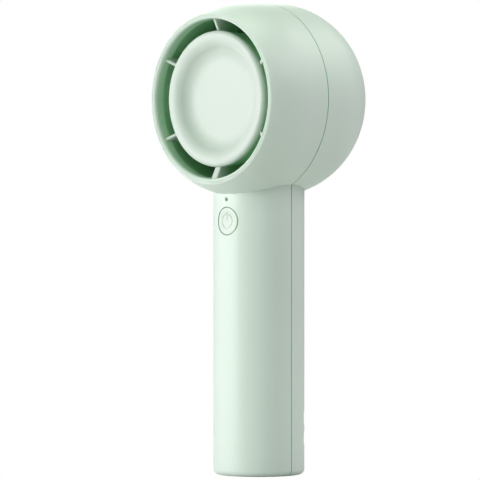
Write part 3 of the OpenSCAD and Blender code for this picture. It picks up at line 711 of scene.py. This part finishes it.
class FAN_OT_outlet(bpy.types.Operator):
    """Models the ring, the hub and the vanes between the lip and the disc."""

    bl_idname = "fan.outlet"
    bl_label = "Outlet ring and vanes"

    def execute(self, context):
        shape = context.scene.fan_shape
        self.make_duct()
        vanes = [self.make_vane(shape.vane_thickness)]
        for k in range(1, 6):
            if k == 3:
                lead_vane = self.make_vane(shape.lead_vane_thickness)
                vanes.append(combine(lead_vane, self.lead_channel(HEAD_Z, HEAD_Z + CHANNEL_REACH)))
            else:
                vanes.append(turned_copy(vanes[0], 60 * k, f"vane_{k}"))
        turn_piece(vanes[3], 180)
        vane_set = joined(vanes, "outlet_vanes")
        settle(vane_set)
        finish_piece(vane_set, "housing", "mint_light", MATERIALS["vane_finish"], "outlet_ring")
        return {"FINISHED"}

    def lead_channel(self, low, high):
        """A cutter for the leads' channel, between two heights."""
        return box_piece(
            "cutter", (-CHANNEL_HALF_WIDTH, CHANNEL_FRONT, low), (CHANNEL_HALF_WIDTH, CHANNEL_BACK, high)
        )

    def make_duct(self):
        """The ring and the hub with its bulkhead, bored for the screws and for the motor's leads."""
        edge = 0.3 * MM
        ring_section = arc(RING_IN_R + edge, RING_FRONT + edge, edge, 180, 270, 4)
        ring_section += [(RING_R, RING_FRONT), (RING_R, RING_BACK), (RING_IN_R, RING_BACK)]
        ring = lathe("outlet_duct", ring_section, 192)
        inner_r = HUB_R - HUB_WALL
        hub_section = arc(HUB_R - edge, HUB_FRONT + edge, edge, -90, 0, 4)
        hub_section += [(HUB_R, RING_BACK), (CONE_R, CONE_BACK), (CONE_R - HUB_WALL, CONE_BACK)]
        hub_section += [(BULKHEAD_BACK_R, BULKHEAD_BACK), (BULKHEAD_BORE_R, BULKHEAD_BACK)]
        hub_section += [(BULKHEAD_BORE_R, BULKHEAD_FRONT), (BULKHEAD_FRONT_R, BULKHEAD_FRONT)]
        hub_section += [(inner_r, RING_BACK), (inner_r, HUB_FRONT)]
        hub = lathe("outlet_hub", hub_section, 192)
        cut_front, cut_length = -6 * MM, 3 * MM
        for angle in (30, 150, 270):
            turn = math.radians(angle)
            place = HEAD_AXIS + MOTOR_SCREW_PLACE_R * Vector((math.cos(turn), 0, math.sin(turn)))
            start = place + Vector((0, cut_front, 0))
            combine(hub, rod_piece("cutter", MOTOR_SCREW_HOLE_R, start, cut_length, steps=30))
        slot_half, slot_top, slot_foot = 1.5 * MM, 10.1 * MM, 12.9 * MM
        slot_low = (-slot_half, cut_front, HEAD_Z - slot_foot)
        slot_high = (slot_half, cut_front + cut_length, HEAD_Z - slot_top)
        combine(hub, box_piece("cutter", slot_low, slot_high))
        for piece in (ring, hub):
            combine(piece, self.lead_channel(HEAD_Z - CHANNEL_REACH, HEAD_Z))
        duct = settle(joined([ring, hub], "outlet_duct"))
        # the ring and the hub take the deep green as painted shade inside the outlet
        finish_piece(duct, "housing", "duct_green", MATERIALS["duct_green"], "outlet_ring")

    def make_vane(self, thickness):
        """The vane above the disc: a plate whose front edge slopes back inwards and is fully rounded."""
        root = HUB_R - 0.6 * MM
        lip = 0.05 * MM
        tip = RING_IN_R + 0.4 * MM
        outline = [
            (root, RING_BACK - 1 * MM), (root, DISC_BACK + lip), (DISC_R + lip, DISC_BACK + lip),
            (DISC_R + lip, VANE_FRONT + VANE_SLOPE), (OUTLET_R - lip, VANE_FRONT),
            (OUTLET_R - lip, RING_FRONT), (tip, RING_FRONT), (tip, RING_BACK - 1 * MM),
        ]
        points = [HEAD_AXIS + Vector((-thickness / 2, y, r)) for r, y in outline]
        vane = draw_chain("vane", points)
        bpy.ops.mesh.edge_face_add()
        bpy.ops.mesh.extrude_region_move(TRANSFORM_OT_translate={"value": (thickness, 0, 0)})
        bpy.ops.mesh.select_all(action="SELECT")
        bpy.ops.mesh.normals_make_consistent(inside=False)
        near = 1e-6
        corners = [end + Vector((side, 0, 0)) for end in points[3:5] for side in (0, thickness)]

        def on_front_edge(a, b):
            at_corners = all(min((end - corner).length for corner in corners) < near for end in (a, b))
            return at_corners and abs(a.x - b.x) < near

        select_edges(vane, on_front_edge)
        bpy.ops.mesh.bevel(offset=thickness * 0.46, segments=6, affect="EDGES", clamp_overlap=True)
        return settle(vane)


class FAN_OT_button(bpy.types.Operator):
    """Models the power button: a dished cap that follows the handle, with an engraved symbol."""

    bl_idname = "fan.button"
    bl_label = "Power button"

    def execute(self, context):
        origin = Vector((0, 0, 0))
        dish, dish_r, edge, skirt = 0.35 * MM, CAP_R - 1.1 * MM, 0.3 * MM, 3.1 * MM
        section = [(dish_r * i / 14, dish * (1 - (i / 14) ** 2)) for i in range(14)]
        section += arc(CAP_R - edge, edge, edge, -90, 0, 5)
        section += [(CAP_R, skirt), (0, skirt)]
        cap = lathe("power_button_cap", section, 144, closed=False, centre=origin)
        self.engrave_symbol(cap, dish, dish_r)
        # the cap is bent to the handle's own round before it is moved into its hole
        apply_modifier(
            cap, "SIMPLE_DEFORM", deform_method="BEND", deform_axis="Z", angle=2 * CAP_R / CAP_BEND_R
        )
        cap.location = (0, CAP_LOW.y, BUTTON_Z)
        settle(cap, 30)
        place = Vector((0, 0, BUTTON_Z))
        flange_r, fillet = CAP_HIGH.x, 0.3 * MM
        flange = lathe(
            "button_flange",
            [(0, FLANGE_FRONT), *arc(flange_r - edge, FLANGE_FRONT + edge, edge, -90, 0, 3),
             *arc(flange_r - edge, FLANGE_BACK - edge, edge, 0, 90, 3), (1.7 * MM, FLANGE_BACK),
             (STEM_R, FLANGE_BACK + fillet), (STEM_R, CAP_HIGH.y), (0, CAP_HIGH.y)],
            96, closed=False, centre=place,
        )
        button = joined([cap, flange], "power_button_cap")
        finish_piece(button, "button", "mint_light", MATERIALS["mint_light"], "power_button")
        return {"FINISHED"}

    def engrave_symbol(self, cap, dish, dish_r):
        """Cuts a plain on and off sign: a ring that is open at the top, and a short bar in the gap."""
        ring_r, cut_r, gap, bar = 2.45 * MM, 0.17 * MM, 0.95 * MM, (0.3 * MM, 3 * MM)
        clear_selection()
        bpy.ops.mesh.primitive_torus_add(
            major_radius=ring_r, minor_radius=cut_r, major_segments=96, minor_segments=10,
            location=(0, dish * (1 - (ring_r / dish_r) ** 2), 0), rotation=(math.pi / 2, 0, 0),
        )
        ring = bpy.context.object
        bpy.ops.object.transform_apply(location=True, rotation=True, scale=True)
        combine(ring, box_piece("cutter", (-gap, -MM, 0), (gap, MM, 4 * MM)))
        combine(cap, ring)
        combine(cap, rod_piece("cutter", cut_r, (0, dish * 0.8, bar[0]), bar[1] - bar[0], "Z", 12))


class FAN_OT_light(bpy.types.Operator):
    """Models the light pipe: a domed lens in the handle and its rod down to the diode."""

    bl_idname = "fan.light"
    bl_label = "Light pipe"

    def execute(self, context):
        place = Vector((0, 0, (PIPE_LOW.z + PIPE_HIGH.z) / 2))
        collar_r = PIPE_HIGH.x
        rod_r = collar_r - 0.5 * MM
        dome = 0.16 * MM
        turns = [t * math.pi / 20 for t in range(11)]
        section = [(rod_r * math.sin(t), PIPE_LOW.y + dome * (1 - math.cos(t))) for t in turns]
        section += [(rod_r, COLLAR_FRONT), (collar_r, COLLAR_FRONT)]
        section += [(collar_r, COLLAR_BACK), (rod_r, COLLAR_BACK)]
        section += [(rod_r, PIPE_HIGH.y), (0, PIPE_HIGH.y)]
        lens = lathe("status_light_lens", section, 48, closed=False, centre=place)
        finish_piece(lens, "housing", "light_pipe_green", MATERIALS["light_pipe_green"], "light_pipe")
        return {"FINISHED"}


class FAN_OT_grille(bpy.types.Operator):
    """Models the domed intake grille with its rings of slots."""

    bl_idname = "fan.grille"
    bl_label = "Intake grille"

    def execute(self, context):
        shape = context.scene.fan_shape
        ribs = shape.ribs
        slots = [shape.slot_first + k * shape.slot_pitch for k in range(shape.slot_rings)]
        places = [0, 1.5 * MM, 3.2 * MM, DOME_CENTRE_R]
        for start in slots:
            places += [start, start + shape.slot_width]
        places.append(GRILLE_R)
        step = math.tau / ribs
        section = [HEAD_AXIS + Vector((r, self.dome_y(r), 0)) for r in places]
        sector = draw_chain("intake_grille", section)
        bpy.ops.mesh.spin(steps=6, angle=step, center=HEAD_AXIS, axis=(0, 1, 0))
        bpy.ops.mesh.select_all(action="SELECT")
        bpy.ops.mesh.remove_doubles(threshold=0.002 * MM)
        # both edges of the sector are the middle of a rib, so each is cut half a rib's width away
        for turn, side in ((0, 1), (step, -1)):
            across = Vector((-math.sin(turn), 0, math.cos(turn))) * side
            self.select_faces(sector, lambda c: self.radius(c) > slots[0])
            bpy.ops.mesh.bisect(plane_co=HEAD_AXIS + across * shape.rib_width / 2, plane_no=across)
        self.select_faces(sector, lambda c: self.in_slot(c, slots, shape.slot_width, shape.rib_width, step))
        bpy.ops.mesh.delete(type="FACE")
        bpy.ops.object.mode_set(mode="OBJECT")
        bpy.ops.object.transform_apply(location=True, rotation=True, scale=True)
        sectors = [sector] + [turned_copy(sector, k * 360 / ribs, f"sector_{k}") for k in range(1, ribs)]
        grille = joined(sectors, "intake_grille")
        bpy.ops.object.mode_set(mode="EDIT")
        bpy.ops.mesh.select_all(action="SELECT")
        bpy.ops.mesh.remove_doubles(threshold=0.01 * MM)
        bpy.ops.mesh.normals_make_consistent(inside=False)
        bpy.ops.object.mode_set(mode="OBJECT")
        self.face_back(grille)
        apply_modifier(grille, "SOLIDIFY", thickness=WALL, offset=-1, use_even_offset=True)
        bevel_edges(grille, 0.28 * MM, 3, 50)
        skirt_in, skirt_out = GRILLE_R - SKIRT_WALL, GRILLE_R - 0.02 * MM
        skirt = lathe(
            "grille_skirt",
            [(skirt_in, SKIRT_FRONT), (skirt_out, SKIRT_FRONT),
             (skirt_out, SKIRT_BACK), (skirt_in, SKIRT_BACK)], 144,
        )
        clips = [box_piece("clip", (GRILLE_R - 0.6 * MM, 23.6 * MM, HEAD_Z - 2 * MM),
                           (GRILLE_R + 0.35 * MM, 24.5 * MM, HEAD_Z + 2 * MM))]
        turn_piece(clips[0], 45)
        clips += [turned_copy(clips[0], 90 * k, f"clip_{k}") for k in range(1, 4)]
        for clip in clips:
            bevel_edges(clip, 0.15 * MM)
        grille = joined([grille, skirt, *clips], "intake_grille")
        finish_piece(grille, "housing", "mint_shell", MATERIALS["mint_shell"], "rear_grille")
        return {"FINISHED"}

    def dome_y(self, r):
        """Place of the grille's outside along the head's axis, at a radius."""
        reach = max(r - DOME_CENTRE_R, 0)
        return DOME_CENTRE_Y + math.sqrt(DOME_R ** 2 - reach ** 2)

    def radius(self, place):
        """Distance of a place from the head's axis."""
        return math.hypot(place.x, place.z - HEAD_Z)

    def in_slot(self, place, slots, width, rib, step):
        """Whether a face's middle lies in a slot and not on a rib."""
        r = self.radius(place)
        turn = math.atan2(place.z - HEAD_Z, place.x)
        off_rib = min(abs(r * math.sin(turn)), abs(r * math.sin(turn - step)))
        return any(start < r < start + width for start in slots) and off_rib > rib / 2

    def select_faces(self, obj, wanted):
        """In edit mode, selects the faces whose middle passes a test."""
        bpy.ops.mesh.select_all(action="DESELECT")
        bpy.context.tool_settings.mesh_select_mode = (False, False, True)
        mesh = bmesh.from_edit_mesh(obj.data)
        for face in mesh.faces:
            if wanted(obj.matrix_world @ face.calc_center_median()):
                face.select_set(True)
        bmesh.update_edit_mesh(obj.data)

    def face_back(self, obj):
        """Turns the open dome's faces to the back when they face the front."""
        if sum(face.normal.y * face.area for face in obj.data.polygons) < 0:
            activate(obj)
            bpy.ops.object.mode_set(mode="EDIT")
            bpy.ops.mesh.select_all(action="SELECT")
            bpy.ops.mesh.flip_normals()
            bpy.ops.object.mode_set(mode="OBJECT")


class FAN_OT_impeller(bpy.types.Operator):
    """Models the impeller: a capped hub and twisted blades."""

    bl_idname = "fan.impeller"
    bl_label = "Impeller"

    def execute(self, context):
        shape = context.scene.fan_shape
        front, back, edge, nose_r = WHEEL_LOW.y, 11.6 * MM, 0.5 * MM, 3 * MM
        section = arc(WHEEL_HUB_R - edge, front + edge, edge, -90, 0, 4)
        section += arc(WHEEL_HUB_R - nose_r, back - nose_r, nose_r, 0, 80, 10)
        crown = WHEEL_HIGH.y
        last_r, last_y = section[-1]
        section += [(last_r * (1 - i / 12), last_y + (crown - last_y) * math.sin(i / 12 * math.pi / 2))
                    for i in range(1, 13)]
        section += [(0, SHAFT_SOCKET_END), (SHAFT_SOCKET_R, SHAFT_SOCKET_END), (SHAFT_SOCKET_R, BELL_ROOF)]
        section += [(BELL_R, BELL_ROOF), (BELL_R, front)]
        hub = lathe("impeller_wheel", section, 144)
        blades = [self.make_blade(shape.blade_twist)]
        for k in range(1, shape.blades):
            blades.append(turned_copy(blades[0], 360 * k / shape.blades, f"blade_{k}"))
        wheel = settle(joined([hub, *blades], "impeller_wheel"))
        finish_piece(wheel, "rotor", "duct_green", MATERIALS["duct_green"], "impeller")
        return {"FINISHED"}

    def make_blade(self, twist):
        """A radial blade that turns as it runs along the axis, thin and rounded at its edges."""
        root, steps = WHEEL_HUB_R - 0.6 * MM, 20
        reach = BLADE_TIP_R - root
        points = [HEAD_AXIS + Vector((root + reach * i / 10, BLADE_FRONT, 0)) for i in range(11)]
        blade = draw_chain("blade", points)
        advance = (0, (BLADE_BACK - BLADE_FRONT) / steps, 0)
        for _ in range(steps):
            bpy.ops.mesh.extrude_region_move(TRANSFORM_OT_translate={"value": advance})
            bpy.ops.transform.rotate(
                value=twist / steps, orient_axis="Y", orient_type="GLOBAL", center_override=HEAD_AXIS
            )
        bpy.ops.mesh.select_all(action="SELECT")
        bpy.ops.mesh.normals_make_consistent(inside=False)
        bpy.ops.object.mode_set(mode="OBJECT")
        bpy.ops.object.transform_apply(location=True, rotation=True, scale=True)
        apply_modifier(blade, "SOLIDIFY", thickness=0.7 * MM, offset=0, use_even_offset=True)
        return bevel_edges(blade, 0.24 * MM, 3, 50)


class FAN_OT_stage(bpy.types.Operator):
    """Sets up the pale floor, the soft studio lights and the camera."""

    bl_idname = "fan.stage"
    bl_label = "Studio"

    def execute(self, context):
        scene = context.scene
        scene.view_settings.view_transform = "Standard"
        self.add_floor()
        self.add_world(scene)
        for light in self.LIGHTS:
            self.add_softbox(*light)
        self.add_camera(scene)
        return {"FINISHED"}

    # name, direction round the fan from its front, height of the direction, power and colour
    LIGHTS = (
        ("key_softbox", -26, 8, 14.0, "#ffffff"),
        ("left_softbox", -60, 8, 4.1, "#ffe4ff"),
        ("top_softbox", 100, 85, 7.1, "#eeffe7"),
        ("side_softbox", 110, 40, 6.2, "#fdecff"),
        ("back_softbox", 165, 40, 4.0, "#ffffff"),
        ("front_softbox", 45, 40, 2.8, "#e2ffe8"),
        ("far_softbox", -125, 25, 6.0, "#ffffff"),
    )

    def add_floor(self):
        """A pale floor that lights the fan as paper does and is seen as even white."""
        clear_selection()
        bpy.ops.mesh.primitive_plane_add(size=12, location=(0, 0, 0))
        floor = bpy.context.object
        floor.name = floor.data.name = "studio_floor"
        material, tree, principled, place = new_material("matt_white_paper", linear("#d4d4d4"), 0.95)
        grain(tree, principled, place, 2 * MM, 0.02 * MM)
        glow = add_node(tree, "ShaderNodeEmission", None, Color=(1, 1, 1, 1), Strength=1.0)
        path = add_node(tree, "ShaderNodeLightPath")
        mix = add_node(
            tree, "ShaderNodeMixShader", None, _0=path.outputs["Is Camera Ray"],
            _1=principled.outputs["BSDF"], _2=glow.outputs["Emission"],
        )
        output = next(n for n in tree.nodes if n.type == "OUTPUT_MATERIAL")
        tree.links.new(mix.outputs["Shader"], output.inputs["Surface"])
        floor.data.materials.append(material)

    def add_world(self, scene):
        """Air that gives a weak even fill and is seen as white."""
        world = bpy.data.worlds.new("studio_air")
        scene.world = world
        world.use_nodes = True
        tree = world.node_tree
        tree.nodes.clear()
        fill = add_node(tree, "ShaderNodeBackground", None, Color=(1, 1, 1, 1), Strength=0.15)
        seen = add_node(tree, "ShaderNodeBackground", None, Color=(1, 1, 1, 1), Strength=1.0)
        path = add_node(tree, "ShaderNodeLightPath")
        mix = add_node(
            tree, "ShaderNodeMixShader", None, _0=path.outputs["Is Camera Ray"],
            _1=fill.outputs["Background"], _2=seen.outputs["Background"],
        )
        add_node(tree, "ShaderNodeOutputWorld", None, Surface=mix.outputs["Shader"])

    def add_softbox(self, name, azimuth, height, power, colour):
        """A square softbox at a distance from the fan's middle; azimuth 0 is in front of the outlet."""
        size, distance = 0.6, 1.4
        light = bpy.data.lights.new(name, "AREA")
        light.shape = "SQUARE"
        light.size = size
        light.energy = power
        light.color = linear(colour)
        obj = bpy.data.objects.new(name, light)
        bpy.context.scene.collection.objects.link(obj)
        turn, lift = math.radians(azimuth), math.radians(height)
        way = Vector((math.sin(turn) * math.cos(lift), -math.cos(turn) * math.cos(lift), math.sin(lift)))
        middle = Vector((0, 0, 95 * MM))
        obj.location = middle + way * distance
        obj.rotation_euler = (-way).to_track_quat("-Z", "Y").to_euler()

    def add_camera(self, scene):
        """The camera stands level with the upper handle, to the fan's front right, with a long lens."""
        data = bpy.data.cameras.new("studio_camera")
        camera = bpy.data.objects.new("studio_camera", data)
        scene.collection.objects.link(camera)
        azimuth = math.radians(44.87)
        away = Vector((math.sin(azimuth), -math.cos(azimuth), 0))
        left = Vector((-math.cos(azimuth), -math.sin(azimuth), 0))
        distance, height = 1.338, 0.1006
        data.sensor_width = 36
        data.lens = 285.7
        data.clip_start, data.clip_end = 0.05, 50
        camera.location = away * distance + Vector((0, 0, height))
        aim_left, aim_down = 6.64, 18.34
        target = left * aim_left * MM + Vector((0, 0, height - aim_down * MM))
        camera.rotation_euler = (target - camera.location).to_track_quat("-Z", "Y").to_euler()
        scene.camera = camera


class FAN_PT_panel(bpy.types.Panel):
    """Lists the steps that build the fan."""

    bl_idname = "FAN_PT_panel"
    bl_label = "Fan"
    bl_space_type = "VIEW_3D"
    bl_region_type = "UI"
    bl_category = "Fan"

    def draw(self, context):
        """Shows every setting and a button for each step."""
        layout = self.layout
        for group in (context.scene.fan_finish, context.scene.fan_shape):
            for key in group.__annotations__:
                layout.prop(group, key)
        for step in STEPS:
            layout.operator(step.bl_idname)


STEPS = (
    FAN_OT_finishes, FAN_OT_disc, FAN_OT_outlet, FAN_OT_button, FAN_OT_light, FAN_OT_grille,
    FAN_OT_impeller, FAN_OT_stage,
)
CLASSES = (FanFinish, FanShape, *STEPS, FAN_PT_panel)


def register():
    """Adds the classes and the two groups of settings."""
    for cls in CLASSES:
        bpy.utils.register_class(cls)
    bpy.types.Scene.fan_finish = PointerProperty(type=FanFinish)
    bpy.types.Scene.fan_shape = PointerProperty(type=FanShape)


def unregister():
    """Takes away what register added."""
    del bpy.types.Scene.fan_shape
    del bpy.types.Scene.fan_finish
    for cls in reversed(CLASSES):
        bpy.utils.unregister_class(cls)


def main():
    """Builds the whole fan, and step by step."""
    register()
    for step in STEPS:
        group, name = step.bl_idname.split(".")
        getattr(getattr(bpy.ops, group), name)()


if __name__ == "__main__":
    main()
